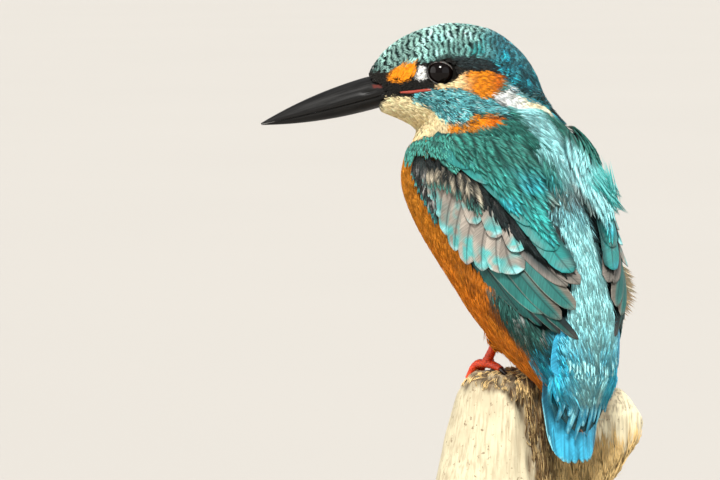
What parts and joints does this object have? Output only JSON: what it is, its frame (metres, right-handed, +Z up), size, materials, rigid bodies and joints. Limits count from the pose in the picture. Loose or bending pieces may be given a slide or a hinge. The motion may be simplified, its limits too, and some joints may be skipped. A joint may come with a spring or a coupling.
{
  "type": "kingfisher",
  "caption": "Life-size still model of a common kingfisher looking over its shoulder, on a cut branch end above a round display base.",
  "frame": {"origin": "middle of the stand base's underside", "axes": "+Z up, -Y the way the bird's body faces, +X the bird's left"},
  "size_m": [0.1012, 0.0983, 0.159],
  "materials": {
    "feathers_teal": "dense feathers, green-blue with a soft sheen",
    "feathers_cyan": "silky bright cyan feathers",
    "feathers_blue": "smooth azure tail feathers",
    "feathers_orange": "soft fluffy orange feathers",
    "bill": "horn, satin black",
    "eye": "wet dark brown, almost black",
    "feet": "fine scutes, coral red",
    "claws": "dark horn",
    "wood": "weathered and broken, bark gone",
    "stand": "black lacquer over turned wood",
    "rod": "brushed"
  },
  "bodies": {
    "root": {"back_feathers": "feathers_cyan", "bill_lower": "bill", "bill_upper": "bill", "eye_left": "eye", "eye_right": "eye", "head": "feathers_teal", "leg_left_claw_1": "claws", "leg_left_claw_2": "claws", "leg_left_claw_3": "claws", "leg_left_claw_4": "claws", "leg_left_foot": "feet", "leg_left_tarsus": "feet", "leg_left_thigh": "feathers_orange", "leg_right_claw_1": "claws", "leg_right_claw_2": "claws", "leg_right_claw_3": "claws", "leg_right_claw_4": "claws", "leg_right_foot": "feet", "leg_right_tarsus": "feet", "leg_right_thigh": "feathers_orange", "neck": "feathers_teal", "perch": "wood", "stand_base": "stand", "stand_rod_left": "rod", "stand_rod_right": "rod", "tail": "feathers_blue", "trunk": "feathers_orange", "wing_left_coverts": "feathers_teal", "wing_left_primaries": "feathers_teal", "wing_left_scapulars": "feathers_teal", "wing_left_secondaries": "feathers_teal", "wing_left_shoulder": "feathers_teal", "wing_right_coverts": "feathers_teal", "wing_right_primaries": "feathers_teal", "wing_right_scapulars": "feathers_teal", "wing_right_secondaries": "feathers_teal", "wing_right_shoulder": "feathers_teal"}
  },
  "joints": []
}
